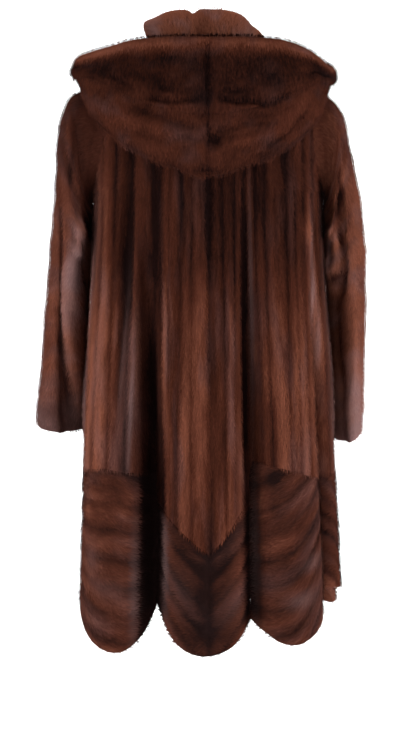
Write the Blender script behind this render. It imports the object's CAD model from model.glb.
import math

import bpy
import numpy as np
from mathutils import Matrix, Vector


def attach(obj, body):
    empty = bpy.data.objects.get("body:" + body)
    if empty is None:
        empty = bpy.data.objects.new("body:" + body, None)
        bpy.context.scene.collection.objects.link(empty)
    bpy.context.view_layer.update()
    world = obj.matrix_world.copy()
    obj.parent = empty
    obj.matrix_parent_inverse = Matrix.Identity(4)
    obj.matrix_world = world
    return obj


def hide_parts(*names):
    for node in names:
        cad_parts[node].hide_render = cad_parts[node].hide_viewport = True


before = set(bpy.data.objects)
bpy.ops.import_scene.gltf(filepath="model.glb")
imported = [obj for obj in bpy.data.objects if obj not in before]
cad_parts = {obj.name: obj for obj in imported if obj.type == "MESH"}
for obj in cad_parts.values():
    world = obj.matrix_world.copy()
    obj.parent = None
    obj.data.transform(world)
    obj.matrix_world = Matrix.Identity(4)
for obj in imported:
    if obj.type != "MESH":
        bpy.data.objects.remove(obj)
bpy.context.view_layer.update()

# A knee-length hooded fur coat. Tables are in millimetres and degrees, meshes in metres. The wearer faces -Y.
mm = 0.001
coat = {
    "wall": 9,  # skin and pile together
    "pile": 2.6,  # how deep the skins lie under the tips of the pile
    "seamGap": 0.3,
    "frontGap": 2.4,
    "squareness": 2.3,
    "hemLevel": -996,
    "hemPile": 0.0030,  # share of the length by which the pile hangs over the hem
}


# Small helpers
def radians(degrees):
    return np.asarray(degrees, float) * (math.pi / 180)


def smooth(low, high, x):
    t = np.clip((np.asarray(x, float) - low) / (high - low), 0, 1)
    return t * t * (3 - 2 * t)


def lerp(a, b, t):
    return a + (b - a) * t


def bell(x):
    return np.exp(-x * x)


def unit(vectors):
    return vectors / np.maximum(np.linalg.norm(vectors, axis=-1, keepdims=True), 1e-9)


def stack(x, y, z):
    return np.stack(np.broadcast_arrays(x, y, z), axis=-1).astype(float)


# One column of a table at places between its rows, as a smooth curve through them.
def read(table, key, place, column):
    keys, values = np.array(table[key], float), np.array(table[column], float)
    place = np.asarray(place, float)
    last = len(keys) - 1
    i = np.clip(np.searchsorted(keys, place) - 1, 0, last - 1)
    before, after = np.maximum(i - 1, 0), np.minimum(i + 2, last)
    span = keys[i + 1] - keys[i]
    t = np.clip((place - keys[i]) / span, 0, 1)
    slopeA = (values[i + 1] - values[before]) / (keys[i + 1] - keys[before]) * span
    slopeB = (values[after] - values[i]) / (keys[after] - keys[i]) * span
    t2, t3 = t * t, t * t * t
    whole = (2 * t3 - 3 * t2 + 1) * values[i] + (t3 - 2 * t2 + t) * slopeA
    return whole + (3 * t2 - 2 * t3) * values[i + 1] + (t3 - t2) * slopeB


def mirrored(table):
    return {key: [-row[1] if key == "angle" else row[1], *row] for key, row in table.items()}


# The body, from neck to hem
bodyTable = {
    "down": [0.0, 0.03, 0.065, 0.1, 0.16, 0.25, 0.42, 0.62, 0.82, 1.0],
    "z": [14, 6, -10, -34, -88, -190, -370, -585, -810, -996],
    "side": [74, 106, 146, 182, 197, 199, 206, 219, 229, 235],
    "back": [68, 84, 100, 114, 134, 150, 160, 174, 188, 198],
    "front": [70, 84, 96, 106, 122, 138, 148, 162, 176, 186],
    "dropBack": [-8, 6, 18, 26, 14, 0, 0, 0, 0, 0],
    "dropFront": [58, 60, 58, 50, 26, 4, 0, 0, 0, 0],
}
foldColumns = ("top", "hem", "start", "full", "gone", "push", "half", "halfHem")
bigFolds = [
    (31.5, 23.8, 0.12, 0.86, 9, -74, 5, 6.8),
    (-18, -18.6, 0.14, 0.9, 9, -52, 4, 4.6),
    (42, 38, 0.1, 0.34, 0.72, -15, 5, 5),
    (-35, -36, 0.1, 0.3, 0.72, -8, 4, 4),
    (-58, -62.5, 0.24, 0.8, 9, -44, 5.2, 5.6),
    (82, 80, 0.32, 0.9, 9, -26, 6, 7),
    (94, 92, 0.6, 1, 9, -14, 15, 15),
    (92, 112, 0.265, 0.34, 0.85, -17, 10, 11),
    (-92, -108, 0.265, 0.34, 0.85, -17, 10, 11),
    (15, 12, 0.16, 0.5, 1.1, -8, 3.6, 4),
    (-3, -4, 0.16, 0.5, 1.1, -8, 3.6, 4),
    (54, 49, 0.3, 0.8, 9, 12, 13, 13),
    (-40, -40, 0.3, 0.8, 9, 10, 12, 12),
    (3, 3, 0.3, 0.8, 9, 12, 15, 14),
    (120, 112, 0.3, 0.9, 9, -34, 7, 8),
    (-92, -92, 0.5, 0.95, 9, -28, 7, 7),
    (142, 140, 0.2, 0.75, 9, -30, 7, 9),
    (-134, -128, 0.2, 0.8, 9, -36, 7, 9),
    (-156, -158, 0.3, 0.9, 9, -20, 7, 7),
]
bigFolds = [dict(zip(foldColumns, row)) for row in bigFolds]
foldStraightness = 0.8
scallops = {
    "edge": [-180, -158, -128, -92, -62.5, -18.6, 23.8, 80, 112, 140, 180],
    "z": [-946, -938, -930, -896, -902, -950, -926, -898, -914, -932, -946],
    "low": [-962, -962, -948, -908, -990, -1004, -1004, -926, -954, -964],
    "lowAt": [-170, -143, -112, -77, -36, 1, 39, 98, 127, 162],
    "round": [0.7, 0.7, 0.7, 0.7, 0.65, 0.75, 1.1, 0.7, 0.7, 0.7],
}
borderStart = {
    "angle": [-180, -62, -38, -18.7, -18.5, -1, 11, 23.7, 23.9, 46, 80, 180],
    "down": [0.71, 0.75, 0.722, 0.71, 0.775, 0.84, 0.812, 0.795, 0.728, 0.718, 0.735, 0.71],
}


def foldAngle(fold, down):
    return lerp(fold["top"], fold["hem"], smooth(0.25, 0.9, down))


def foldPush(angle, down):
    push = 0
    for fold in bigFolds:
        strength = smooth(fold["start"], fold["full"], down) * (1 - smooth(fold["full"], fold["gone"], down))
        half = lerp(fold["half"], fold["halfHem"], smooth(0.5, 1, down))
        push = push + fold["push"] * strength * bell((angle - foldAngle(fold, down)) / half)
    return push


def hemLevelAt(angle):
    edge, z = np.array(scallops["edge"]), np.array(scallops["z"])
    lobe = np.clip(np.searchsorted(edge, angle) - 1, 0, len(edge) - 2)
    width = edge[lobe + 1] - edge[lobe]
    t = np.clip((angle - edge[lobe]) / width, 0, 1)
    skew = np.log(0.5) / np.log((np.array(scallops["lowAt"])[lobe] - edge[lobe]) / width)
    dip = np.sin(math.pi * t**skew) ** np.array(scallops["round"])[lobe]
    return lerp(lerp(z[lobe], z[lobe + 1], t), np.array(scallops["low"])[lobe], dip)


def levelPoint(angle, down):
    s, c = np.sin(radians(angle)), np.cos(radians(angle))
    side = read(bodyTable, "down", down, "side")
    depth = np.where(c > 0, read(bodyTable, "down", down, "back"), read(bodyTable, "down", down, "front"))
    drop = np.where(c > 0, read(bodyTable, "down", down, "dropBack"), read(bodyTable, "down", down, "dropFront"))
    power = coat["squareness"]
    swell = (np.abs(s) ** power + np.abs(c) ** power) ** (-1 / power)
    x, y = side * s * swell, depth * c * swell
    out = unit(np.stack([x / side**2, y / depth**2], -1))
    share = (foldStraightness * c * c)[..., None]
    out = unit(out * (1 - share) + np.stack([0 * c, np.sign(c)], -1) * share)
    push = foldPush(angle, down)
    z = read(bodyTable, "down", down, "z") - drop * c * c
    return stack(x + out[..., 0] * push, y + out[..., 1] * push, z)


def bodyPoint(angle, down):
    point = levelPoint(angle, down)
    point[..., 2] += (hemLevelAt(angle) - coat["hemLevel"]) * smooth(0.6, 1, down) ** 1.3
    return point


# The direction that a surface faces, from its two tangents
def facing(surface, u, v, du=0.2, dv=0.002):
    across = surface(u + du, v) - surface(u - du, v)
    downward = surface(u, v + dv) - surface(u, v - dv)
    return unit(np.cross(across, downward))


# Creases and soft spots placed by hand. A crease runs from one place to another along a surface: its middle
# follows a straight line, it fades at both ends, and it sinks or lifts the pile and changes its shade.
def creases(u, v, rows, wave=0.0):
    lift, tone = 0, 0
    for i, (vFrom, vTo, uFrom, uTo, height, half, shade) in enumerate(rows):
        t = (v - vFrom) / (vTo - vFrom)
        fade = smooth(-0.02, 0.22, t) * (1 - smooth(0.72, 1.02, t))
        here = lerp(uFrom, uTo, np.clip(t, 0, 1)) + wave * half * np.sin(9 * t + 2.1 * i)
        mark = fade * bell((u - here) / half)
        lift, tone = lift + height * mark, tone + shade * mark
    return lift, tone


def spots(u, v, rows):
    lift, tone = 0, 0
    for middleU, middleV, halfU, halfV, height, shade in rows:
        mark = bell(np.hypot((u - middleU) / halfU, (v - middleV) / halfV))
        lift, tone = lift + height * mark, tone + shade * mark
    return lift, tone


# A soft uneven swell between -1 and 1 over a surface whose places are given in millimetres
def billow(x, y, size, start=0.0):
    total = 0
    for k in range(6):
        turn = 2.4 * k + start
        wave = 2 * math.pi * (0.7 + 0.22 * k) / size
        total = total + np.sin((x * math.cos(turn) + y * math.sin(turn)) * wave + 1.7 * k + start) / (1 + 0.2 * k)
    return total / 2.6


# Grooves between the let-out skins of the panels, read off the photograph on the back: where each lies at the
# waist and at the hem, how deep it is and its half width.
grooveColumns = ("waist", "hem", "deep", "half")
backGrooves = [
    (61, 57, 1.6, 1.8), (50, 46, 2.4, 1.8), (39.7, 36.6, 3.0, 2.0), (27, 25.5, 2.0, 1.4), (23.3, 20.6, 3.0, 1.6),
    (18.7, 17.2, 1.2, 1.2), (13.2, 13.6, 2.8, 1.6), (7.6, 7.2, 1.6, 1.3), (-0.8, -1.8, 3.2, 1.7),
    (-6.4, -7.6, 2.2, 1.4), (-13.2, -12.4, 1.2, 1.3), (-21.8, -23, 1.6, 1.4), (-27.8, -28.6, 2.8, 1.5),
    (-39, -35.8, 1.9, 1.6), (-45, -41.5, 1.1, 1.5), (-51, -47.5, 2.2, 1.7), (-60, -56, 1.4, 1.7),
]
backGrooves = [dict(zip(grooveColumns, row)) for row in backGrooves]
sideGrooves = [
    {"waist": a, "hem": a * 0.99, "deep": 1.2 + 1.3 * abs(math.sin(1.7 * a)), "half": 1.7}
    for a in [*range(70, 176, 8), *range(-174, -66, 8)]
]
grooves = backGrooves + sideGrooves


# How far the pile's face lies below the smooth wall: grooves that come and go as they run down.
def bodyRelief(angle, down):
    relief = 0
    for i, groove in enumerate(grooves):
        here = lerp(groove["waist"], groove["hem"], smooth(0.3, 0.8, down))
        here = here + 0.35 * np.sin(9 * down + 2.3 * i)
        uneven = 0.72 + 0.28 * np.sin(7.5 * down + 1.9 * i) * np.sin(17 * down + 0.7 * i)
        relief = relief - 1.9 * groove["deep"] * uneven * bell((angle - here) / (1.3 * groove["half"]))
    return np.maximum(relief, -8) * smooth(0.06, 0.2, down)


# Pale and dark places of the panels: angle, place down, half sizes, lift and shade
bodySpots = [
    (76, 0.34, 8, 0.14, 1.5, 0.16), (74, 0.52, 7, 0.12, 1.0, 0.12), (56, 0.5, 8, 0.16, 0.8, 0.10),
    (52, 0.66, 12, 0.10, 0.0, 0.05), (34.5, 0.55, 2.2, 0.14, 1.6, 0.16), (42.5, 0.5, 2.0, 0.16, -1.5, -0.22),
    (-55, 0.36, 2.5, 0.08, 2.0, 0.26), (-61, 0.50, 3.0, 0.10, 1.0, 0.16), (-50, 0.60, 5, 0.12, 0.5, 0.08),
    (20.5, 0.52, 2.0, 0.12, 0.8, 0.08), (10, 0.66, 4.5, 0.14, 1.0, 0.13), (-10.5, 0.62, 2.2, 0.16, 0.8, 0.10),
    (-4, 0.30, 16, 0.10, 0.0, -0.06), (-30, 0.30, 8, 0.08, 0.0, -0.08), (27.5, 0.40, 2.8, 0.2, -1.0, -0.14),
    (-17.4, 0.40, 1.3, 0.16, -5.0, -0.60), (-17.2, 0.60, 1.2, 0.14, -5.0, -0.60),
    (-14.6, 0.46, 2.4, 0.2, -1.0, -0.16), (41.5, 0.52, 1.5, 0.10, -3.0, -0.22), (17.0, 0.34, 4.0, 0.06, 0.5, 0.10),
    (57, 0.29, 4.0, 0.08, 0.5, 0.10), (-26, 0.5, 4.0, 0.2, 0.8, 0.07),
    (21, 0.5, 2.4, 0.2, 1.0, 0.10), (6.3, 0.46, 4.2, 0.2, 1.2, 0.10), (-10.8, 0.5, 2.8, 0.2, 1.0, 0.08),
    (-52.5, 0.345, 3.5, 0.016, 3.0, 0.32), (-57.5, 0.37, 2.0, 0.05, 3.0, 0.24), (-60.5, 0.44, 2.2, 0.05, 3.0, 0.24),
    (-64, 0.52, 2.0, 0.05, 2.0, 0.2), (-64.5, 0.36, 2.0, 0.05, -3.0, -0.3), (-67.5, 0.44, 1.8, 0.05, -3.0, -0.3),
    (-73, 0.37, 3.0, 0.03, 1.0, 0.16), (-41, 0.52, 3.6, 0.2, 1.0, 0.06), (-56, 0.4, 3.0, 0.16, 1.2, 0.12),
    (53, 0.42, 4.5, 0.2, 1.0, 0.08),
]


# Where the bloom lies on the panels
bodyFrosts = [
    (34.6, 0.63, 0.8, 0.08, 0, 0.5), (40.5, 0.56, 1.0, 0.10, 0, 0.2), (36, 0.60, 5, 0.14, 0, 0.16),
    (-57.5, 0.37, 1.5, 0.04, 0, 0.5),
    (-60.5, 0.44, 1.6, 0.04, 0, 0.45), (-64, 0.52, 1.5, 0.04, 0, 0.4), (70, 0.36, 8, 0.10, 0, 0.2),
    (-19.8, 0.48, 0.7, 0.16, 0, 0.4), (58, 0.60, 6, 0.10, 0, 0.12),
]
# Dark and pale places of the border, and its bloom
borderSpots = [
    (45, 0.742, 16, 0.010, -2, -0.24), (44, 0.765, 14, 0.012, 1, 0.10), (58, 0.79, 3.5, 0.010, 2, 0.24),
    (42, 0.806, 9, 0.010, -2, -0.20), (40, 0.835, 12, 0.014, 1, 0.08), (46, 0.87, 14, 0.008, -1, -0.10),
    (-29, 0.738, 4.5, 0.022, -2, -0.34), (-28, 0.78, 4, 0.02, -1, -0.2), (-44, 0.76, 7, 0.02, 1, 0.08),
    (-38, 0.83, 8, 0.012, 1, 0.12), (-34, 0.87, 7, 0.012, -1, -0.14), (-46, 0.915, 9, 0.012, 1, 0.12),
    (2, 0.90, 2.4, 0.05, -3, -0.16), (-4, 0.83, 5, 0.02, -1, -0.10), (-12, 0.88, 4, 0.03, 1, 0.12),
    (11, 0.93, 5, 0.016, 1, 0.10), (8, 0.97, 6, 0.01, -1, -0.08), (-8, 0.95, 5, 0.012, 1, 0.08),
]
borderFrosts = [
    (31.5, 0.90, 1.6, 0.10, 0, 0.38), (44, 0.90, 10, 0.016, 0, 0.22), (54, 0.86, 6, 0.03, 0, 0.2),
    (-20.6, 0.86, 1.3, 0.12, 0, 0.5), (-40, 0.925, 8, 0.014, 0, 0.35), (-48, 0.875, 6, 0.012, 0, 0.3),
    (18.5, 0.88, 1.6, 0.08, 0, 0.4), (-60, 0.92, 3, 0.06, 0, 0.4), (76, 0.86, 8, 0.10, 0, 0.3),
    (12, 0.90, 6, 0.03, 0, 0.08), (-10, 0.92, 5, 0.03, 0, 0.08),
]


# The sleeves
armhole = {"middle": 0.19, "reach": 0.092, "half": 29}
leftSleeve = {
    "along": [0.0, 0.07, 0.14, 0.23, 0.33, 0.45, 0.6, 0.8, 1.0],
    "outX": [182, 226, 251, 262, 266, 272, 282, 295, 307],
    "outZ": [-36, -45, -71, -120, -184, -262, -362, -506, -636],
    "inX": [202, 205, 205, 205, 206, 208, 216, 223, 229],
    "inZ": [-226, -236, -244, -258, -282, -322, -388, -512, -648],
    "y": [0, 1, 0, -2, -6, -12, -22, -38, -54],
    "deep": [74, 76, 79, 81, 81, 80, 79, 76, 72],
}
rightSleeve = {
    "along": [0.0, 0.07, 0.14, 0.23, 0.33, 0.45, 0.6, 0.8, 1.0],
    "outX": [182, 218, 234, 245, 257, 271, 277, 276, 273],
    "outZ": [-36, -58, -82, -126, -184, -262, -362, -512, -652],
    "inX": [202, 205, 205, 205, 206, 208, 216, 223, 228],
    "inZ": [-226, -236, -244, -258, -282, -322, -392, -522, -665],
    "y": [0, 1, 0, -2, -4, -8, -16, -28, -40],
    "deep": [74, 76, 79, 81, 82, 81, 79, 74, 66],
}
cuffRise = 13  # the cuff's edge is higher at its sides than at the front and back
sleeveFoldColumns = ("start", "end", "turnStart", "turnEnd", "push", "half")
leftSleeveFolds = [
    (0.3, 1.1, 58, 146, -15, 20), (0.3, 1.1, 98, 180, 8, 24), (0.36, 0.5, 132, 122, 10, 15),
    (0.1, 1.1, 180, 180, 8, 26), (0.2, 0.9, 300, 262, -14, 16),
]
rightSleeveFolds = [
    (0.26, 0.62, 100, 128, -16, 14), (0.3, 0.6, 130, 150, 13, 15), (0.55, 1.1, 150, 136, -7, 17),
    (0.1, 1.1, 180, 180, 8, 26), (0.2, 0.9, 300, 262, -14, 16),
]
# Finer folds of the sleeves: from and to along the sleeve, turn at both, lift, half width in degrees, shade
leftSleeveCreases = [
    (0.34, 1.02, 40, 152, -6, 6, -0.30), (0.38, 1.02, 56, 170, 4, 9, 0.10), (0.20, 0.42, 150, 166, -4, 8, -0.30),
    (0.42, 0.62, 118, 158, -4, 5, -0.34), (0.05, 0.30, 40, 58, -3, 9, -0.08), (0.10, 0.34, 96, 84, -4, 9, -0.12),
    (0.60, 0.95, 30, 20, -3, 12, -0.06), (0.5, 0.9, 90, 130, 2, 12, 0.12),
]
leftSleeveSpots = [
    (127, 0.375, 10, 0.034, 6, 0.42), (116, 0.42, 7, 0.030, 4, 0.24), (146, 0.32, 10, 0.030, -4, -0.26),
    (112, 0.60, 16, 0.16, 2, 0.08), (104, 0.46, 5, 0.02, -3, -0.2),
    (64, 0.14, 22, 0.05, 3, 0.05), (80, 0.24, 18, 0.05, -3, -0.12), (60, 0.30, 16, 0.05, 2, 0.06),
]
rightSleeveCreases = [
    (0.20, 0.40, 92, 118, -5, 7, -0.34), (0.30, 0.62, 122, 150, -5, 5, -0.30), (0.62, 1.0, 150, 136, -3, 7, -0.2),
    (0.05, 0.30, 46, 70, -3, 9, -0.08), (0.52, 0.62, 96, 140, -3, 6, -0.20), (0.44, 0.52, 90, 140, 2.5, 6, 0.06),
    (0.66, 0.95, 70, 100, 2, 14, 0.06),
]
rightSleeveSpots = [
    (141, 0.43, 5, 0.022, -7, -0.45), (134, 0.375, 13, 0.018, 5, 0.34), (129, 0.45, 4.5, 0.05, 5, 0.34),
    (148, 0.50, 5, 0.05, 4, 0.24), (138, 0.53, 9, 0.018, 4, 0.22), (148, 0.60, 10, 0.03, 5, 0.14),
    (120, 0.46, 4, 0.06, -4, -0.25), (140, 0.565, 12, 0.008, -3, -0.25),
    (84, 0.42, 9, 0.035, -3, -0.16), (72, 0.28, 14, 0.04, 2, 0.08), (96, 0.92, 30, 0.06, 1, 0.16),
]
leftSleeveFolds = [dict(zip(sleeveFoldColumns, row)) for row in leftSleeveFolds]
rightSleeveFolds = [dict(zip(sleeveFoldColumns, row)) for row in rightSleeveFolds]


def armholeCorner(sideSign, turn):
    down = armhole["middle"] - armhole["reach"] * np.cos(radians(turn))
    return bodyPoint(sideSign * (90 - armhole["half"] * np.sin(radians(turn))), down)


def sleevePoint(sideSign, turn, along):
    table, folds = (leftSleeve, leftSleeveFolds) if sideSign > 0 else (rightSleeve, rightSleeveFolds)
    columns = ("outX", "outZ", "inX", "inZ", "y", "deep")
    outX, outZ, inX, inZ, y, deep = (read(table, "along", along, column) for column in columns)
    wideX, wideZ = (outX - inX) / 2, (outZ - inZ) / 2
    s, c = np.sin(radians(turn)), np.cos(radians(turn))
    power = coat["squareness"]
    swell = (np.abs(s) ** power + np.abs(c) ** power) ** (-1 / power)
    width = np.hypot(wideX, wideZ)
    out = unit(stack(wideX * c / width**2, s / deep, wideZ * c / width**2))
    point = stack((outX + inX) / 2 + wideX * c * swell, y + deep * s * swell, (outZ + inZ) / 2 + wideZ * c * swell)
    push = 0
    for fold in folds:
        t = np.clip((along - fold["start"]) / (fold["end"] - fold["start"]), 0, 1)
        strength = np.sin(math.pi * np.clip(t * 0.9 + 0.02, 0, 1)) ** 0.6
        inside = (along >= fold["start"]) & (along <= fold["end"])
        away = turn - lerp(fold["turnStart"], fold["turnEnd"], t)
        away = away - 360 * np.round(away / 360)
        push = push + inside * fold["push"] * strength * bell(away / fold["half"])
    point = point + out * np.asarray(push)[..., None]
    point[..., 2] += cuffRise * c**4 * smooth(0.9, 1, along)
    point[..., 0] *= sideSign
    return lerp(armholeCorner(sideSign, turn), point, smooth(0, 0.09, along)[..., None])


# The hood, its brim and the neck band
hood = {
    "end": 170, "seat": 0.7,
    "droop": 18, "droopAt": -70, "droopHalf": 15,  # the rim hangs lower over the right shoulder
    "tuck": 14, "tuckAt": -80, "tuckHalf": 22,  # and lies closer to the neck
}
hoodOut = mirrored({
    "angle": [0, 18, 35, 50, 65, 80, 92, 115, 145, 170],
    "yoke": [121, 125, 138, 148, 154, 150, 140, 118, 104, 96],
    "back": [152, 158, 173, 187, 198, 190, 180, 148, 126, 107],
    "bottom": [173, 180, 196, 209, 215, 209, 203, 172, 148, 121],
    "turn": [200, 205, 215, 224, 230, 226, 219, 192, 166, 139],
    "side": [204, 208, 215, 223, 233, 233, 226, 199, 170, 143],
    "rim": [200, 204, 212, 219, 228, 228, 222, 193, 164, 138],
})
hoodLevel = mirrored({
    "angle": [0, 18, 35, 50, 65, 80, 92, 115, 145, 170],
    "seam": [24, 24, 22, 21, 20, 18, 16, 6, -20, -34],
    "yoke": [-58, -54, -42, -24, -6, 4, 6, 0, -34, -46],
    "back": [-145, -138, -118, -88, -54, -18, -12, -20, -56, -62],
    "bottom": [-214, -200, -178, -142, -100, -42, -28, -44, -84, -86],
    "turn": [-150, -144, -130, -104, -78, -42, -30, -44, -80, -80],
    "side": [-62, -58, -50, -40, -32, -22, -18, -28, -62, -64],
    "rim": [5, 6, 5, -1, -4, -2, -6, -16, -48, -50],
})
brim = {"firstRow": 0.7, "gap": 0.9, "inside": 0.98}
brimShape = mirrored({
    "angle": [0, 35, 65, 80, 115, 170],
    "depth": [0.262, 0.233, 0.18, 0.2, 0.24, 0.26],
})
collar = {
    "wall": 15, "seat": 0.8, "flare": 1.8, "end": 172,
    "lean": 20, "leanAt": 72, "leanHalf": 30,  # it leans out further over the left shoulder
    "rise": 16, "riseAt": 70, "riseHalf": 30,  # and stands higher beside the neck there
}
collarShape = mirrored({
    "angle": [0, 30, 45, 60, 90, 130, 172],
    "baseR": [76, 77, 78, 79, 81, 79, 77],
    "topR": [92, 93, 95, 97, 98, 91, 84],
    "topZ": [80, 78, 71, 57, 45, 8, -20],
})


def collarAt(angle, column):
    size = read(collarShape, "angle", np.abs(angle), column)
    if column == "topR":
        size = size + collar["lean"] * bell((angle - collar["leanAt"]) / collar["leanHalf"])
    if column == "topZ":
        size = size + collar["rise"] * bell((angle - collar["riseAt"]) / collar["riseHalf"])
    return size


def collarBase(angle):
    return bodyPoint(angle, np.zeros_like(angle))[..., 2] + collar["seat"]


def collarRadius(angle, z):
    base, top = collarBase(angle), collarAt(angle, "topZ")
    up = np.clip((z - base) / (top - base), 0, 1)
    return lerp(collarAt(angle, "baseR"), collarAt(angle, "topR"), up ** collar["flare"])


def hoodPoint(angle, share):
    angle, share = np.broadcast_arrays(np.asarray(angle, float), np.asarray(share, float))
    around = np.abs(angle)
    places = ("yoke", "back", "bottom", "turn", "side", "rim")
    seam = read(hoodLevel, "angle", around, "seam")
    levels = [seam] + [read(hoodLevel, "angle", around, place) for place in places]
    outs = [collarRadius(angle, seam + coat["wall"]) + hood["seat"]]
    outs += [read(hoodOut, "angle", around, place) for place in places]
    points = np.stack([np.stack(outs, -1), np.stack(levels, -1)], -1)
    last = len(places)
    place = np.clip(share, 0, 1) * last
    i = np.minimum(np.floor(place).astype(int), last)
    t = (place - i)[..., None]

    def pick(k):
        index = np.clip(k, 0, last)[..., None, None]
        return np.take_along_axis(points, np.broadcast_to(index, index.shape[:-1] + (2,)), axis=-2)[..., 0, :]

    p0, p1, p2, p3 = pick(i - 1), pick(i), pick(i + 1), pick(i + 2)
    v0, v1 = (p2 - p0) / 2, (p3 - p1) / 2
    section = (2 * p1 - 2 * p2 + v0 + v1) * t**3 + (-3 * p1 + 3 * p2 - 2 * v0 - v1) * t**2 + v0 * t + p1
    tuck = np.where(angle < 0, hood["tuck"] * bell((angle - hood["tuckAt"]) / hood["tuckHalf"]), 0)
    droop = np.where(angle < 0, hood["droop"] * bell((angle - hood["droopAt"]) / hood["droopHalf"]), 0)
    r = section[..., 0] - tuck * smooth(0.1, 0.6, share)
    z = section[..., 1] - droop * smooth(0.55, 0.95, share)
    return stack(r * np.sin(radians(angle)), r * np.cos(radians(angle)), z)


def hoodShare(angle, row):
    depth = read(brimShape, "angle", np.abs(angle), "depth")
    first = brim["firstRow"]
    return np.where(row < first, row / first * (1 - depth), 1 - depth * (1 - row) / (1 - first))


# Creases of the hood's pouch: from and to round the neck, share of the section at both, lift, half, shade
hoodCreases = [
    (-36, 4, 0.752, 0.790, -5.0, 0.011, -0.26), (-2, 32, 0.790, 0.765, -4.5, 0.012, -0.26),
    (-34, 2, 0.700, 0.694, -4.0, 0.012, -0.18), (-28, 6, 0.672, 0.664, -3.2, 0.010, -0.14),
    (2, 40, 0.700, 0.742, -4.0, 0.013, -0.20), (0, 30, 0.664, 0.650, -2.6, 0.011, -0.10),
    (-46, -14, 0.742, 0.720, -3.6, 0.012, -0.12), (8, 46, 0.628, 0.664, -2.6, 0.012, -0.08),
    (-40, -8, 0.622, 0.628, -2.6, 0.012, -0.10), (-52, -26, 0.700, 0.590, -4.5, 0.014, -0.16),
    (-60, -30, 0.660, 0.545, 3.0, 0.018, 0.10), (30, 46, 0.640, 0.566, 3.5, 0.011, 0.12),
    (33, 47, 0.622, 0.548, -3.0, 0.010, -0.10), (-12, 12, 0.560, 0.552, -3.0, 0.012, -0.10),
]
hoodSpots = [
    (-3.5, 0.655, 3.2, 0.022, -5, -0.34), (0, 0.70, 1.8, 0.03, -4, -0.22), (3, 0.74, 2.0, 0.03, -3, -0.12),
    (42, 0.553, 2.2, 0.010, 5, 0.30), (24, 0.60, 14, 0.035, 2, 0.10), (-22, 0.64, 12, 0.03, 2, 0.05),
    (40, 0.70, 10, 0.05, 2, 0.06), (-44, 0.74, 7, 0.03, 2, 0.10), (12, 0.575, 12, 0.02, 2, 0.08),
]
# Spots of the brim by angle and share of the section, then its creases, laid out as the hood's
brimSpots = [
    (0, 0.86, 1.6, 0.3, -3, -0.10), (52, 0.80, 8, 0.06, -4, -0.06), (26, 0.85, 6, 0.08, 2, 0.03),
    (-24, 0.82, 7, 0.08, -3, -0.04), (-58, 0.86, 3, 0.08, -3, -0.10), (64, 0.97, 10, 0.03, 2, 0.06),
]
brimCreases = [
    (30, 1, 0.770, 0.785, -5.0, 0.009, -0.26), (-2, -32, 0.792, 0.752, -5.0, 0.009, -0.26),
    (-28, -50, 0.760, 0.790, -4.0, 0.010, -0.18), (24, 2, 0.806, 0.812, -2.5, 0.010, -0.10),
    (-4, -24, 0.815, 0.800, -2.5, 0.010, -0.10), (56, 30, 0.850, 0.800, -3.0, 0.012, -0.12),
    (34, 4, 0.756, 0.768, 3.0, 0.008, 0.14), (-5, -30, 0.775, 0.738, 3.0, 0.008, 0.12),
    (-46, -66, 0.86, 0.90, -3.0, 0.012, -0.10), (62, 74, 0.93, 0.90, -3.0, 0.012, -0.12),
]


def hoodRelief(angle, share):
    lift, tone = creases(share, angle, hoodCreases, 0.35)
    raised, shade = spots(angle, share, hoodSpots)
    seam = bell(angle / 1.5) * smooth(0.4, 0.5, share)
    soft = billow(angle * 3.4, share * 420, 62, 1.0)
    return lift + raised + 1.8 * soft - 2.4 * seam, tone + shade + 0.05 * soft - 0.08 * seam


# Turns two grids of points, in millimetres, into one closed wall. Each grid runs down its rows.
def gridNormals(points, closed):
    if closed:
        wrapped = np.concatenate([points[:, -1:], points, points[:, :1]], axis=1)
        across = np.gradient(wrapped, axis=1)[:, 1:-1]
    else:
        across = np.gradient(points, axis=1)
    return unit(np.cross(across, np.gradient(points, axis=0)))


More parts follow.
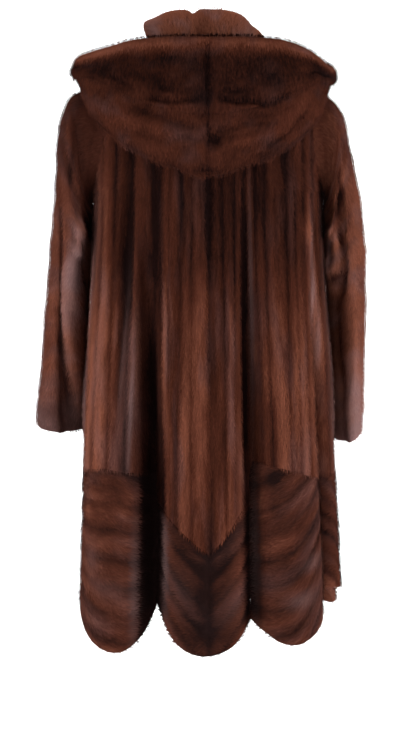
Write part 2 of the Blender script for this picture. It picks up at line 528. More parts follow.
def wallMesh(name, outer, inner, closed, facts, furred):
    rows, columns = outer.shape[:2]
    count = rows * columns
    number = np.arange(count).reshape(rows, columns)
    if closed:
        number = np.concatenate([number, number[:, :1]], axis=1)
    a, b, c, d = number[:-1, :-1], number[1:, :-1], number[1:, 1:], number[:-1, 1:]
    outside = np.stack([a, b, c, d], -1).reshape(-1, 4)
    inside = np.stack([a, d, c, b], -1).reshape(-1, 4) + count
    top, bottom = number[0], number[-1]
    rims = [np.stack([top[:-1], top[1:], top[1:] + count, top[:-1] + count], -1)]
    rims.append(np.stack([bottom[:-1], bottom[:-1] + count, bottom[1:] + count, bottom[1:]], -1))
    if not closed:
        left, right = number[:, 0], number[:, -1]
        rims.append(np.stack([left[:-1], left[:-1] + count, left[1:] + count, left[1:]], -1))
        rims.append(np.stack([right[:-1], right[1:], right[1:] + count, right[:-1] + count], -1))
    faces = np.concatenate([outside, inside, *rims])
    points = np.concatenate([outer.reshape(-1, 3), inner.reshape(-1, 3)]) * mm
    p = points[faces]
    volume = np.einsum("ij,ij->i", p[:, 0], np.cross(p[:, 1], p[:, 2]) + np.cross(p[:, 2], p[:, 3])).sum()
    if volume < 0:
        faces = faces[:, ::-1]
    mesh = bpy.data.meshes.new(name)
    mesh.vertices.add(len(points))
    mesh.vertices.foreach_set("co", points.astype(np.float32).ravel())
    mesh.loops.add(faces.size)
    mesh.loops.foreach_set("vertex_index", faces.astype(np.int32).ravel())
    mesh.polygons.add(len(faces))
    mesh.polygons.foreach_set("loop_start", np.arange(0, faces.size, 4, dtype=np.int32))
    mesh.update(calc_edges=True)
    mesh.polygons.foreach_set("use_smooth", np.ones(len(faces), bool))
    away = outer - inner
    normals = gridNormals(outer, closed)
    normals = normals * np.sign((normals * away).sum(-1, keepdims=True).mean())
    facts = {**facts, "skinNormal": normals}
    for key, grid in facts.items():
        grid = np.broadcast_to(grid, outer.shape if np.ndim(grid) == 3 else outer.shape[:2])
        flat = np.concatenate([grid.reshape(count, -1), grid.reshape(count, -1)]).astype(np.float32)
        vector = grid.ndim == 3
        attribute = mesh.attributes.new(key, "FLOAT_VECTOR" if vector else "FLOAT", "POINT")
        attribute.data.foreach_set("vector" if vector else "value", flat.ravel())
    grown = np.zeros(len(faces), bool)
    grown[: len(outside)] = True if furred is None else furred[:-1, : len(number[0]) - 1].ravel()
    mesh.attributes.new("furred", "BOOLEAN", "FACE").data.foreach_set("value", grown)
    thing = bpy.data.objects.new(name, mesh)
    bpy.context.scene.collection.objects.link(thing)
    return thing


# A wire of a node tree that can be used in sums
class Wire:
    def __init__(self, tree, socket=None):
        self.tree = tree
        self.socket = socket

    def node(self, kind, settings=None, inputs=None, output=0):
        made = self.tree.nodes.new(kind)
        for key, value in (settings or {}).items():
            if key == "stops":
                while len(made.color_ramp.elements) < len(value):
                    made.color_ramp.elements.new(0.5)
                for element, (place, colour) in zip(made.color_ramp.elements, value):
                    element.position = place
                    element.color = (*colour, 1)
            else:
                setattr(made, key, value)
        for key, value in (inputs or {}).items():
            if isinstance(value, Wire):
                self.tree.links.new(value.socket, made.inputs[key])
            else:
                made.inputs[key].default_value = value
        return Wire(self.tree, made.outputs[output])

    def maths(self, operation, *values):
        return self.node("ShaderNodeMath", {"operation": operation}, dict(enumerate(values)))

    def __add__(self, other):
        return self.maths("ADD", self, other)

    def __radd__(self, other):
        return self.maths("ADD", other, self)

    def __sub__(self, other):
        return self.maths("SUBTRACT", self, other)

    def __rsub__(self, other):
        return self.maths("SUBTRACT", other, self)

    def __mul__(self, other):
        return self.maths("MULTIPLY", self, other)

    def __rmul__(self, other):
        return self.maths("MULTIPLY", other, self)

    def __truediv__(self, other):
        return self.maths("DIVIDE", self, other)

    def __pow__(self, other):
        return self.maths("POWER", self, other)

    def clamped(self):
        return self.node("ShaderNodeClamp", {}, {0: self})


# Mink: long soft streaks along the nap, each skin in its own shade, paler at the tips of the hairs.
mink = {
    "warm": [(0.05, (0.0070, 0.0028, 0.0024)), (0.5, (0.050, 0.0140, 0.0080)), (1.0, (0.165, 0.0540, 0.0310))],
    "cool": [(0.05, (0.0070, 0.0040, 0.0042)), (0.5, (0.050, 0.0235, 0.0215)), (1.0, (0.165, 0.0850, 0.0800))],
    "frost": (0.150, 0.088, 0.082),  # the mauve bloom where light glances off the pile
    "sheen": 0.06,
    "sheenTint": (0.38, 0.26, 0.26, 1),
    "sheenRoughness": 0.25,
    "gloss": 0.0,
    "rootShade": 0.72,
}


# How often the shade changes across and along the nap: in broad patches, soft locks and single strokes
letOut = {
    "broad": (0.7, 4.0), "soft": (1.7, 8.0), "thin": (7.0, 34.0), "hue": (0.8, 5.0),
    "skins": 0.20, "seam": 0.12, "locks": 0.50,
}
crosswise = {
    "broad": (0.8, 7.0), "soft": (1.5, 16.0), "thin": (9.0, 50.0), "hue": (0.8, 8.0),
    "skins": 0.08, "seam": 0.12, "locks": 0.45,
}
plush = {
    "broad": (0.5, 16.0), "soft": (1.0, 42.0), "thin": (8.0, 110.0), "hue": (0.5, 20.0),
    "skins": 0.0, "seam": 0.0, "locks": 0.28,
}


def minkMaterial(name, onHairs, grain, shade=1.0):
    material = bpy.data.materials.new(name)
    material.use_nodes = True
    tree = material.node_tree
    tree.nodes.clear()
    w = Wire(tree)
    attribute = lambda key, output="Fac": w.node("ShaderNodeAttribute", {"attribute_name": key}, {}, output)
    across, along, tone = attribute("across"), attribute("along"), attribute("tone")
    place = lambda a, b, c=0.0: w.node("ShaderNodeCombineXYZ", {}, {0: across * a, 1: along * b, 2: c})
    skin = w.node("ShaderNodeTexWhiteNoise", {"noise_dimensions": "1D"}, {"W": across.maths("FLOOR", across)}, "Value")
    noise = lambda spot, detail: w.node(
        "ShaderNodeTexNoise", {}, {"Vector": spot, "Scale": 1.0, "Detail": detail, "Roughness": 0.6}, "Fac"
    )
    broad = noise(place(*grain["broad"], 5.0), 2.0)
    soft = noise(place(*grain["soft"]), 2.0)
    thin = noise(place(*grain["thin"], 3.0), 3.0)
    middle = across.maths("FRACT", across) - 0.5
    seam = (middle * middle) * 4.0
    level = 0.5 + (skin - 0.5) * grain["skins"] + (soft + broad - 1.0) * grain["locks"] + (thin - 0.5) * 0.4
    level = level + tone - seam * seam * grain["seam"]
    if onHairs:
        level = level + attribute("shade") * 0.08
    warm = w.node("ShaderNodeValToRGB", {"stops": mink["warm"]}, {0: level.clamped()}, "Color")
    cool = w.node("ShaderNodeValToRGB", {"stops": mink["cool"]}, {0: level.clamped()}, "Color")
    frost = attribute("frost")
    cooler = ((noise(place(*grain["hue"], 9.0), 2.0) - 0.50) * 2.4 + frost * 1.5).clamped()
    ramp = w.node("ShaderNodeMix", {"data_type": "RGBA"}, {0: cooler, 6: warm, 7: cool}, 2)
    bloom = (frost * (0.35 + soft * 0.8)).clamped()
    ramp = w.node("ShaderNodeMix", {"data_type": "RGBA"}, {0: bloom, 6: ramp, 7: (*mink["frost"], 1)}, 2)
    if onHairs:
        dim = mink["rootShade"] + attribute("tip") * (1.12 - mink["rootShade"])
        colour = w.node("ShaderNodeVectorMath", {"operation": "SCALE"}, {0: ramp, "Scale": dim * shade}, "Vector")
        normal = w.node("ShaderNodeNewGeometry", {}, {}, "Normal")
        skinNormal = attribute("skinNormal", "Vector")
        normal = w.node("ShaderNodeMix", {"data_type": "VECTOR"}, {0: 0.84, 4: normal, 5: skinNormal}, 1)
        normal = w.node("ShaderNodeVectorMath", {"operation": "NORMALIZE"}, {0: normal}, "Vector")
    else:
        colour = w.node("ShaderNodeVectorMath", {"operation": "SCALE"}, {0: ramp, "Scale": shade}, "Vector")
        normal = w.node("ShaderNodeBump", {}, {"Strength": 0.6, "Distance": 0.002, "Height": thin + soft}, "Normal")
    shader = tree.nodes.new("ShaderNodeBsdfPrincipled")
    shader.inputs["Specular IOR Level"].default_value = mink["gloss"]
    shader.inputs["Sheen Weight"].default_value = mink["sheen"]
    shader.inputs["Sheen Tint"].default_value = mink["sheenTint"]
    shader.inputs["Sheen Roughness"].default_value = mink["sheenRoughness"]
    tree.links.new(colour.socket, shader.inputs["Base Color"])
    tree.links.new((0.50 + thin * 0.2).socket, shader.inputs["Roughness"])
    tree.links.new(normal.socket, shader.inputs["Normal"])
    output = tree.nodes.new("ShaderNodeOutputMaterial")
    tree.links.new(shader.outputs["BSDF"], output.inputs["Surface"])
    return material


# The pile: flat hairs of two triangles, laid along the nap and realized as one mesh.
pile = {
    "perSquareMetre": 140000.0,
    "length": 0.0092,
    "width": 0.0010,
    "lift": 0.0010,  # how far a hair arches
    "tilt": 17.0,  # degrees off the skin
    "tiltSpread": 16.0,
    "yaw": 8.0,
    "wave": 12.0,  # degrees by which the nap wanders
    "waveScale": 26.0,
}


def pileTree():
    tree = bpy.data.node_groups.new("pile", "GeometryNodeTree")
    tree.interface.new_socket("Geometry", in_out="INPUT", socket_type="NodeSocketGeometry")
    for key, value in pile.items():
        tree.interface.new_socket(key, in_out="INPUT", socket_type="NodeSocketFloat").default_value = value
    tree.interface.new_socket("seed", in_out="INPUT", socket_type="NodeSocketInt")
    tree.interface.new_socket("material", in_out="INPUT", socket_type="NodeSocketMaterial")
    tree.interface.new_socket("Geometry", in_out="OUTPUT", socket_type="NodeSocketGeometry")
    entry = tree.nodes.new("NodeGroupInput")
    given = {socket.name: Wire(tree, socket) for socket in entry.outputs}
    w = Wire(tree)
    named = lambda key, kind="FLOAT": w.node("GeometryNodeInputNamedAttribute", {"data_type": kind}, {0: key})
    spread = lambda low, high, seed: w.node(
        "FunctionNodeRandomValue", {"data_type": "FLOAT"}, {2: low, 3: high, "Seed": seed}, 1
    )
    keep = lambda geometry, key, value, kind="FLOAT", domain="POINT": w.node(
        "GeometryNodeStoreNamedAttribute",
        {"data_type": kind, "domain": domain},
        {"Geometry": geometry, "Name": key, "Value": value},
    )
    points = w.node(
        "GeometryNodeDistributePointsOnFaces",
        {"distribute_method": "RANDOM"},
        {"Mesh": given["Geometry"], "Selection": named("furred", "BOOLEAN"), "Density": given["perSquareMetre"],
         "Seed": given["seed"]},
    )
    points = keep(points, "shade", spread(-1.0, 1.0, 11))
    # One hair: a square stood on its corner, with its base at the origin.
    square = w.node("GeometryNodeMeshGrid", {}, {"Size X": 1.0, "Size Y": 1.0, "Vertices X": 2, "Vertices Y": 2})
    spot = w.node("GeometryNodeInputPosition")
    x = w.node("ShaderNodeSeparateXYZ", {}, {0: spot}, "X")
    y = w.node("ShaderNodeSeparateXYZ", {}, {0: spot}, "Y")
    up = (x + y + 1.0) * 0.5
    belly = 1.0 - (up * 2.0 - 1.0) * (up * 2.0 - 1.0)
    form = w.node(
        "ShaderNodeCombineXYZ",
        {},
        {0: (up - belly * 0.12) * given["length"], 1: (x - y) * given["width"] * 0.5, 2: belly * given["lift"]},
    )
    square = keep(square, "tip", up)
    hair = w.node("GeometryNodeSetPosition", {}, {"Geometry": square, "Position": form})
    # Its lie on the skin
    lie = w.node(
        "FunctionNodeAxesToRotation",
        {"primary_axis": "Z", "secondary_axis": "X"},
        {0: named("skinNormal", "FLOAT_VECTOR"), 1: named("nap", "FLOAT_VECTOR")},
    )
    drift = w.node("ShaderNodeTexNoise", {}, {"Vector": spot, "Scale": given["waveScale"], "Detail": 1.0}, 0)
    yaw = spread(-1.0, 1.0, 5) * given["yaw"] + (drift - 0.5) * given["wave"] * 2.0
    loose = spread(0.0, 1.0, 7)
    tilt = (given["tilt"] + loose * loose * loose * given["tiltSpread"]) * named("stand")
    turn = w.node(
        "ShaderNodeCombineXYZ",
        {},
        {0: spread(-0.35, 0.35, 3), 1: tilt * (-math.pi / 180), 2: yaw * (math.pi / 180)},
    )
    turn = w.node("FunctionNodeEulerToRotation", {}, {0: turn})
    lie = w.node("FunctionNodeRotateRotation", {"rotation_space": "LOCAL"}, {0: lie, 1: turn})
    size = spread(0.72, 1.22, 9) * named("reach")
    scale = w.node("ShaderNodeCombineXYZ", {}, {0: size, 1: 1.0, 2: size})
    hairs = w.node(
        "GeometryNodeInstanceOnPoints", {}, {"Points": points, "Instance": hair, "Rotation": lie, "Scale": scale}
    )
    whole = w.node("GeometryNodeRealizeInstances", {}, {0: hairs})
    whole = w.node("GeometryNodeSetMaterial", {}, {"Geometry": whole, "Material": given["material"]})
    way = tree.nodes.new("NodeGroupOutput")
    tree.links.new(whole.socket, way.inputs[0])
    return tree


pileNodes = pileTree()


def growPile(skin, name, material, seed, changes=None):
    holder = bpy.data.objects.new("holder", skin.data.copy())
    bpy.context.scene.collection.objects.link(holder)
    modifier = holder.modifiers.new("pile", "NODES")
    modifier.node_group = pileNodes
    wanted = {**pile, **(changes or {}), "seed": seed, "material": material}
    for item in pileNodes.interface.items_tree:
        if item.in_out == "INPUT" and item.name in wanted:
            modifier[item.identifier] = wanted[item.name]
    graph = bpy.context.evaluated_depsgraph_get()
    mesh = bpy.data.meshes.new_from_object(holder.evaluated_get(graph), depsgraph=graph)
    holder.modifiers.clear()
    bpy.data.objects.remove(holder)
    for key in ("nap", "stand", "reach"):
        if key in mesh.attributes:
            mesh.attributes.remove(mesh.attributes[key])
    mesh.name = name
    bakeSquares(mesh)
    thing = bpy.data.objects.new(name, mesh)
    bpy.context.scene.collection.objects.link(thing)
    return thing


# Each hair takes a square of its own in the map that textures are baked to.
def bakeSquares(mesh):
    count = len(mesh.polygons)
    side = math.ceil(math.sqrt(count))
    cell = np.arange(count)
    corner = np.array([(0.1, 0.1), (0.9, 0.1), (0.9, 0.9), (0.1, 0.9)])
    spots = (np.stack([cell % side, cell // side], -1)[:, None] + corner[None]) / side
    layer = mesh.uv_layers.new(name="OFBake")
    layer.data.foreach_set("uv", spots.astype(np.float32).ravel())


# Building of the pieces
borderGap = coat["seamGap"] / 2 / 1000
gapAngle = math.degrees(coat["seamGap"] / 2 / 160)
frontAngle = math.degrees(coat["frontGap"] / 2 / 150)


def armholeOpening(down):
    c = (armhole["middle"] - down) / armhole["reach"]
    return armhole["half"] * np.sqrt(np.clip(1 - c * c, 0, 1))


leftPleat = lambda down: foldAngle(bigFolds[0], down)
rightPleat = lambda down: foldAngle(bigFolds[1], down)
panels = {
    "back_centre": (lambda d: rightPleat(d) + gapAngle, lambda d: leftPleat(d) - gapAngle, 74),
    "back_left": (lambda d: leftPleat(d) + gapAngle, lambda d: 90 - armholeOpening(d) - gapAngle, 96),
    "back_right": (lambda d: -90 + armholeOpening(d) + gapAngle, lambda d: rightPleat(d) - gapAngle, 104),
    "front_left": (lambda d: 90 + armholeOpening(d) + gapAngle, lambda d: 180 - frontAngle + 0 * d, 110),
    "front_right": (lambda d: -180 + frontAngle + 0 * d, lambda d: -90 - armholeOpening(d) - gapAngle, 110),
}
armholeRows = armhole["middle"] - armhole["reach"] * np.cos(radians(np.arange(0, 181, 9)))
upperRows = np.concatenate([np.linspace(0, armholeRows[0], 12)[:-1], armholeRows])


def downTangents(points):
    return unit(np.gradient(points, axis=0))


# Skins of a panel are numbered by the grooves between them.
def skinNumber(angle, down):
    ordered = sorted(grooves, key=lambda groove: groove["waist"])
    number = 0
    for i, groove in enumerate(ordered):
        here = lerp(groove["waist"], groove["hem"], smooth(0.3, 0.8, down))
        nextOne = ordered[min(i + 1, len(ordered) - 1)]
        there = lerp(nextOne["waist"], nextOne["hem"], smooth(0.3, 0.8, down))
        number = number + np.clip((angle - here) / np.maximum(there - here, 0.5), 0, 1)
    return number


def bodyPiece(name, border):
    low, high, columns = panels[name]
    share = np.linspace(0, 1, columns)[None, :]
    edgeAngles = lerp(low(np.array(0.8)), high(np.array(0.8)), share)
    end = np.interp(edgeAngles, borderStart["angle"], borderStart["down"])
    if border:
        down = lerp(end + borderGap, 1 - coat["hemPile"], np.linspace(0, 1, 34)[:, None])
    else:
        lower = lerp(upperRows[-1], end - borderGap, np.linspace(0, 1, 58)[1:, None])
        down = np.concatenate([np.repeat(upperRows[:, None], columns, 1), lower])
    angle = lerp(low(down), high(down), share)
    smoothFace = bodyPoint(angle, down)
    normal = facing(levelPoint, angle, down)
    inner = smoothFace - normal * coat["wall"]
    relief = borderRelief(angle, down) if border else bodyRelief(angle, down) + spots(angle, down, bodySpots)[0]
    meet = bell((np.abs(angle) - 90) / 12) * smooth(0.25, 0.285, down) * (1 - smooth(0.62, 0.7, down))
    close = bell((down - 0.31) / 0.06)
    rim = bell((np.abs(np.abs(angle) - 90) - armholeOpening(down)) / 3) * (1 - smooth(0.3, 0.36, down))
    raised = (relief * (1 - meet) - coat["pile"]) * (1 - rim) + (4.4 + 2.6 * close) * meet * (1 - rim)
    outer = smoothFace + normal * raised[..., None]
    downward = downTangents(outer)
    if border:
        band, sideways = borderBands(angle, down)
        across = unit(np.gradient(outer, axis=1))
        nap = unit(across * sideways[..., None] + downward * 0.55)
        facts = {"across": band, "along": angle * 0.0036, "tone": borderTone(angle, down), "nap": nap}
        facts["frost"] = 0.03 + spots(angle, down, borderFrosts)[1]
    else:
        facts = {"across": skinNumber(angle, down), "along": down, "tone": bodyTone(angle, down), "nap": downward}
        facts["frost"] = bodyFrost(angle, down)
    facts.update({"stand": 1 + 1.4 * meet * close, "reach": 1 + 0.7 * meet * close})
    return wallMesh(("border_" if border else "") + name + "_skin", outer, inner, False, facts, None)


# The border's crosswise skins: on each lobe they slope their own way.
lobes = {
    "angle": [-180, -128, -90, -62, -50, -36, -20, -18, -10, -1, 10, 23, 25, 40, 60, 80, 112, 180],
    "lean": [
        0.0, 0.0, 0.03, -0.085, -0.055, -0.015, 0.02, 0.02, 0.035, 0.06, 0.035, 0.0, 0.01, -0.012, 0.0, 0.02, 0.0, 0.0,
    ],
}
bandDepth = 0.043


def borderBands(angle, down):
    lean = np.interp(angle, lobes["angle"], lobes["lean"])
    band = (down - lean) / bandDepth
    sideways = np.where(angle > 23.8, -1.0, np.where(angle < -18.6, 1.0, np.where(angle > 0, 1.0, -1.0)))
    return band, sideways


def borderRelief(angle, down):
    band, _ = borderBands(angle, down)
    away = (band - np.round(band)) / 0.24
    centre = -2.4 * bell((angle + 0.5) / 1.6) * bell((angle + 0.5) / 20)
    return -3.2 * bell(away) * (0.6 + 0.4 * np.sin(band * 2.1 + angle * 0.09)) + centre


def bodyTone(angle, down):
    # darker below the hood, brighter towards the hips and the outer left
    shade = -0.31 + 0.05 * smooth(0.18, 0.36, down) + 0.26 * smooth(0.38, 0.52, down)
    shade = shade + 0.13 * smooth(40, 66, angle) - 0.10 * bell((angle + 34) / 14) * (1 - smooth(0.44, 0.6, down))
    shade = shade + spots(angle, down, bodySpots)[1]
    return shade + foldShade(angle, down) + 0.06 * (bodyRelief(angle, down) + 2.4)


def bodyFrost(angle, down):
    around = np.abs(angle)
    bloom = 0.4 * smooth(66, 84, around) * (1 - smooth(94, 108, around)) * smooth(0.2, 0.36, down)
    return bloom + spots(angle, down, bodyFrosts)[1]


# The pile is darkest where it lies deep in a fold.
def foldShade(angle, down):
    return -0.4 * smooth(8, 60, -foldPush(angle, down))


def borderTone(angle, down):
    shade = -0.04 + 0.08 * smooth(34, 60, angle) - 0.34 * bell((angle - 2) / 16) - 0.08 * bell((angle + 40) / 18)
    shade = shade + spots(angle, down, borderSpots)[1] + 0.16 * smooth(0.972, 0.99, down)
    shade = shade - 0.6 * smooth(30.6, 28.6, angle) * smooth(19.0, 21.5, angle) + 0.14 * bell((angle + 21.5) / 2)
    return shade + foldShade(angle, down) + 0.08 * (borderRelief(angle, down) + 1.2)


def sleeveTone(sideSign, turn, along):
    if sideSign > 0:
        shade = -0.08 + 0.18 * smooth(0.2, 0.5, along) + 0.1 * bell((turn - 90) / 50) * smooth(0.4, 0.6, along)
        return shade - 0.12 * smooth(0.8, 0.98, along)
    return 0.07 + 0.18 * smooth(0.2, 0.5, along) + 1.0 * smooth(0.76, 0.92, along) * bell((turn - 95) / 60)


def sleeveFrost(sideSign, turn, along):
    edge = 0.22 * bell(turn / 30) + 0.22 * bell((turn - 360) / 30)
    cuff = 0.3 * smooth(0.84, 0.96, along)
    if sideSign > 0:
        return 0.03 + edge * smooth(0.3, 0.6, along) + cuff + 0.5 * bell((turn - 115) / 20) * bell((along - 0.58) / 0.18)
    loop = 0.35 * bell((turn - 146) / 10) * bell((along - 0.46) / 0.08)
    bloom = 0.02 + edge * smooth(0.05, 0.5, along) * 0.6 + cuff + loop
    return bloom + 0.45 * smooth(0.7, 0.95, along) * bell((turn - 80) / 44)


def sleevePiece(name, sideSign):
    turn = np.arange(0, 360, 360 / 116)[None, :]
    along = np.concatenate([np.linspace(0, 0.12, 12)[:-1], np.linspace(0.12, 0.996, 66)])[:, None]
    surface = lambda u, v: sleevePoint(sideSign, u, v)
    turn, along = np.broadcast_arrays(turn, along)
    smoothFace = surface(turn, along)
    outward = -facing(surface, turn, np.maximum(along, 0.02)) * sideSign
    inner = smoothFace - outward * coat["wall"]
    lines, places = (leftSleeveCreases, leftSleeveSpots) if sideSign > 0 else (rightSleeveCreases, rightSleeveSpots)
    lift, tone = creases(turn, along, lines, 0.3)
    raised, shade = spots(turn, along, places)
    soft = billow(np.sin(radians(turn)) * 76, along * 620, 70, 3.0 + sideSign)
    relief = np.clip(lift + raised + 1.8 * soft, -7, 6) * smooth(0.02, 0.1, along)
    meet = bell((turn - 180) / 30) * smooth(0.03, 0.09, along)
    close = bell((along - 0.2) / 0.15)
    raised = relief * (1 - meet) - coat["pile"] * smooth(0, 0.05, along) + (4.4 + 2.6 * close) * meet
    outer = smoothFace + outward * raised[..., None]
    facts = {
        "across": turn / 360 * 10,
        "along": along * 0.62,
        "tone": 1.5 * tone + 1.7 * shade + 0.07 * soft + sleeveTone(sideSign, turn, along),
        "frost": sleeveFrost(sideSign, turn, along),
        "nap": downTangents(outer),
        "stand": 1.3 + 1.2 * meet * close,
        "reach": 1 + 0.7 * meet * close,
    }
    return wallMesh(name + "_skin", outer, inner, True, facts, None)


def hoodPiece(name, sideSign):
    column = np.linspace(0, hood["end"], 92)[None, :]
    row = np.linspace(0, 1, 84)[:, None]
    column, row = np.broadcast_arrays(column, row)
    angle = sideSign * column
    share = hoodShare(angle, row)
    smoothFace = hoodPoint(angle, share)
    outward = -facing(hoodPoint, angle, np.clip(share, 0.003, 0.997))
    inner = smoothFace - outward * coat["wall"]
    relief, tone = hoodRelief(angle, share)
    outer = smoothFace + outward * (relief - coat["pile"])[..., None]
    for grid in (outer, inner):
        grid[:, 0, 0] = sideSign * coat["seamGap"] / 2
    facts = {
        "across": angle / 9 + 40,
        "along": share * 0.4,
        "tone": tone - 0.08 - 0.24 * bell((share - 0.55) / 0.07) - 0.12 * bell((share - 0.76) / 0.05),
        "frost": 0 * share,
        "nap": -downTangents(outer),
        "stand": 1.2 + 0 * share,
        "reach": 0.85 + 0 * share,
    }
    return wallMesh(name + "_skin", outer, inner, False, facts, (share > 0.3) & (row < 0.86))


def brimPiece(name, sideSign):
    rows = [(row, 0) for row in np.linspace(brim["inside"], 1, 4)]
    rows += [(1, bend) for bend in np.linspace(0, 180, 15)[1:-1]]
    rows += [(row, 180) for row in np.linspace(1, brim["firstRow"], 30)]
    row, bend = (np.array(values, float)[:, None] for values in zip(*rows))
    column = np.linspace(0, hood["end"], 92)[None, :]
    column, row, bend = np.broadcast_arrays(column, row, bend)
    angle = sideSign * column
    share = hoodShare(angle, row)
    safe = np.minimum(share, 0.997)
    inward = facing(hoodPoint, angle, safe)
    upward = unit(hoodPoint(angle, safe) - hoodPoint(angle, safe - 0.003))
    away = inward * np.cos(radians(bend))[..., None] + upward * np.sin(radians(bend))[..., None]
    middle = hoodPoint(angle, share) + inward * (coat["wall"] / 2)
    near = coat["wall"] / 2 + brim["gap"]
    raised, shade = spots(angle, share, brimSpots)
    sunk, dark = creases(share, angle, brimCreases, 0.35)
    raised, shade = raised + sunk, shade + dark
    soft = billow(angle * 3.4, share * 420, 58, 4.0)
    outside = smooth(150, 180, bend)
    edge = bell((row - brim["firstRow"]) / 0.05) * outside
    seam = bell(angle / 1.6) * outside
    raised = raised + 1.7 * soft - 5.0 * edge - 2.0 * seam
    outer = middle + away * (near + coat["wall"] - coat["pile"] + raised * outside)[..., None]
    inner = middle + away * near
    for grid in (outer, inner):
        grid[:, 0, 0] = sideSign * coat["seamGap"] / 2
    tone = 0.14 - 0.50 * (1 - smooth(0.915, 0.995, share)) * outside + (shade + 0.06 * soft - 0.11 * seam) * outside
    tone = tone + 0.14 * bell((row - brim["firstRow"] - 0.02) / 0.04) * outside
    facts = {
        "across": angle / 9 + 80,
        "along": share * 0.4,
        "tone": tone + 0.12 * bell((angle - 55) / 25) * smooth(0.9, 1, share),
        "frost": 0 * share,
        "nap": downTangents(outer),
        "stand": 1.3 + 0 * share,
        "reach": 1 + 0.3 * bell((row - brim["firstRow"]) / 0.05) * outside,
    }
    return wallMesh(name + "_skin", outer, inner, False, facts, None)


def collarPiece():
    angle = np.linspace(-collar["end"], collar["end"], 150)[None, :]
    up = np.linspace(0, 1, 22)[:, None]
    angle, up = np.broadcast_arrays(angle, up)
    z = lerp(collarBase(angle), collarAt(angle, "topZ"), up)
    r = collarRadius(angle, z)
    direction = stack(np.sin(radians(angle)), np.cos(radians(angle)), 0 * angle)
    rounding = 4.5 * (1 - np.sqrt(np.clip(1 - smooth(0.86, 1.0, up) ** 2, 0, 1)))
    soft = billow(angle * 1.5, z, 44, 2.0)
    outer = direction * (r - 1.2 + 1.2 * soft * up + 3 * smooth(45, 80, np.abs(angle)) - rounding)[..., None]
    inner = direction * (r - collar["wall"] + coat["pile"] + rounding)[..., None]
    dip = 7 * bell((angle - 17) / 5) * up**2
    outer[..., 2] = inner[..., 2] = z + 3.5 * up - dip
    tone = 0.66 + 0.34 * bell((angle - 34) / 12) - 0.34 * bell((angle - 6) / 13) + 0.10 * bell((angle + 42) / 16)
    facts = {
        "across": angle / 12 + 120.5,
        "along": up * 0.09,
        "tone": tone + 0.08 * soft,
        "frost": 0.35 * bell((angle - 70) / 14) + 0.25 * bell((angle + 58) / 12),
        "nap": downTangents(outer),
        "stand": 1.3 + 1.2 * smooth(0.6, 1, up) + 1.2 * smooth(45, 75, np.abs(angle)),
        "reach": 1 + 0 * up,
    }
    return wallMesh("collar_skin", outer, inner, False, facts, None)


grains = {"panel": letOut, "border": crosswise, "plush": plush}
underfur = {key: minkMaterial("underfur_" + key, False, grain, 0.8) for key, grain in grains.items()}
guardHair = {key: minkMaterial("guard_hair_" + key, True, grain) for key, grain in grains.items()}

skins = {}
for panel in panels:
    skins[panel] = bodyPiece(panel, False)
    skins["border_" + panel] = bodyPiece(panel, True)
skins["sleeve_left"], skins["sleeve_right"] = sleevePiece("sleeve_left", 1), sleevePiece("sleeve_right", -1)
skins["hood_left"], skins["hood_right"] = hoodPiece("hood_left", 1), hoodPiece("hood_right", -1)
skins["brim_left"], skins["brim_right"] = brimPiece("brim_left", 1), brimPiece("brim_right", -1)
skins["collar"] = collarPiece()
print("skins:", {k: len(s.data.polygons) * 2 for k, s in skins.items()})

total = 0
for seed, (node, skin) in enumerate(skins.items()):
    kind = "border" if node.startswith("border_") else "panel" if node in panels else "plush"
    skin.data.materials.append(underfur[kind])
    hairs = growPile(skin, node + "_pile", guardHair[kind], seed + 1)
    for thing in (skin, hairs):
        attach(thing, "root")
        "border_fur" if kind == "border" else "fur"
    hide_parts(node)
    total += len(hairs.data.polygons) * 2
    print("pile of", node, len(hairs.data.polygons))
print("hair triangles", total)

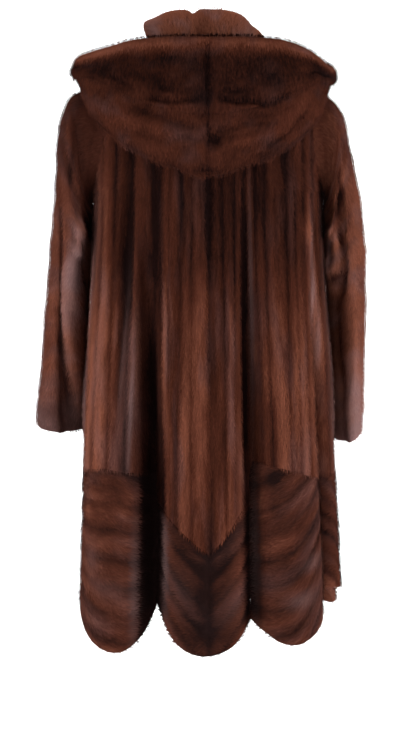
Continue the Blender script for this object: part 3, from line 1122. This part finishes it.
# Stage: a white sweep behind and below, soft light from both sides
sweep = {"floor": -1.46, "front": 3.6, "back": -2.6, "half": 4.0, "radius": 0.9, "top": 2.4}
profile = [(sweep["front"], sweep["floor"])]
for step in range(0, 13):
    turn = math.pi / 2 * step / 12
    y = sweep["back"] + sweep["radius"] * (1 - math.sin(turn))
    profile.append((y, sweep["floor"] + sweep["radius"] * (1 - math.cos(turn))))
profile.append((sweep["back"], sweep["top"]))
points = [(x, y, z) for y, z in profile for x in (-sweep["half"], sweep["half"])]
quads = [(2 * i, 2 * i + 1, 2 * i + 3, 2 * i + 2) for i in range(len(profile) - 1)]
floorMesh = bpy.data.meshes.new("floor")
floorMesh.from_pydata(points, [], quads)
floor = bpy.data.objects.new("floor", floorMesh)
for polygon in floorMesh.polygons:
    polygon.use_smooth = True
bpy.context.scene.collection.objects.link(floor)
paper = bpy.data.materials.new("paper")
paper.use_nodes = True
paperInputs = paper.node_tree.nodes["Principled BSDF"].inputs
paperInputs["Base Color"].default_value = (0.93, 0.93, 0.93, 1)
paperInputs["Roughness"].default_value = 0.9
paperInputs["Emission Color"].default_value = (1, 1, 1, 1)
paperInputs["Emission Strength"].default_value = 0.45
floorMesh.materials.append(paper)

world = bpy.data.worlds.new("studio")
bpy.context.scene.world = world
world.use_nodes = True
world.node_tree.nodes["Background"].inputs["Color"].default_value = (1, 1, 1, 1)
world.node_tree.nodes["Background"].inputs["Strength"].default_value = 0.16


def softbox(name, place, aim, size, power):
    light = bpy.data.lights.new(name, "AREA")
    light.shape = "RECTANGLE"
    light.size, light.size_y = size
    light.energy = power
    thing = bpy.data.objects.new(name, light)
    thing.location = place
    direction = np.array(aim) - np.array(place)
    thing.rotation_euler = Vector(direction).to_track_quat("-Z", "Y").to_euler()
    bpy.context.scene.collection.objects.link(thing)


softbox("left", (2.6, 1.5, -0.7), (0, 0, -0.6), (1.7, 2.2), 168)
softbox("right", (-2.6, 1.5, -0.7), (0, 0, -0.6), (1.7, 2.2), 182)
softbox("front", (0, 3.2, -0.9), (0, 0, -0.6), (1.6, 1.0), 16)
softbox("top", (0, 0.4, 2.2), (0, 0, -0.3), (1.6, 0.9), 30)
softbox("backdrop", (0, -0.9, 1.9), (0, -2.4, -0.6), (3.5, 1.0), 60)

lens = {"distance": 3.2, "level": -0.532, "focal": 88.84, "sensor": 36.0}
camera = bpy.data.objects.new("camera", bpy.data.cameras.new("camera"))
camera.data.lens = lens["focal"]
camera.data.sensor_width = lens["sensor"]
camera.location = (0, lens["distance"], lens["level"])
camera.rotation_euler = (math.pi / 2, 0, math.pi)
bpy.context.scene.collection.objects.link(camera)
bpy.context.scene.camera = camera

bpy.context.scene.view_settings.view_transform = "Standard"
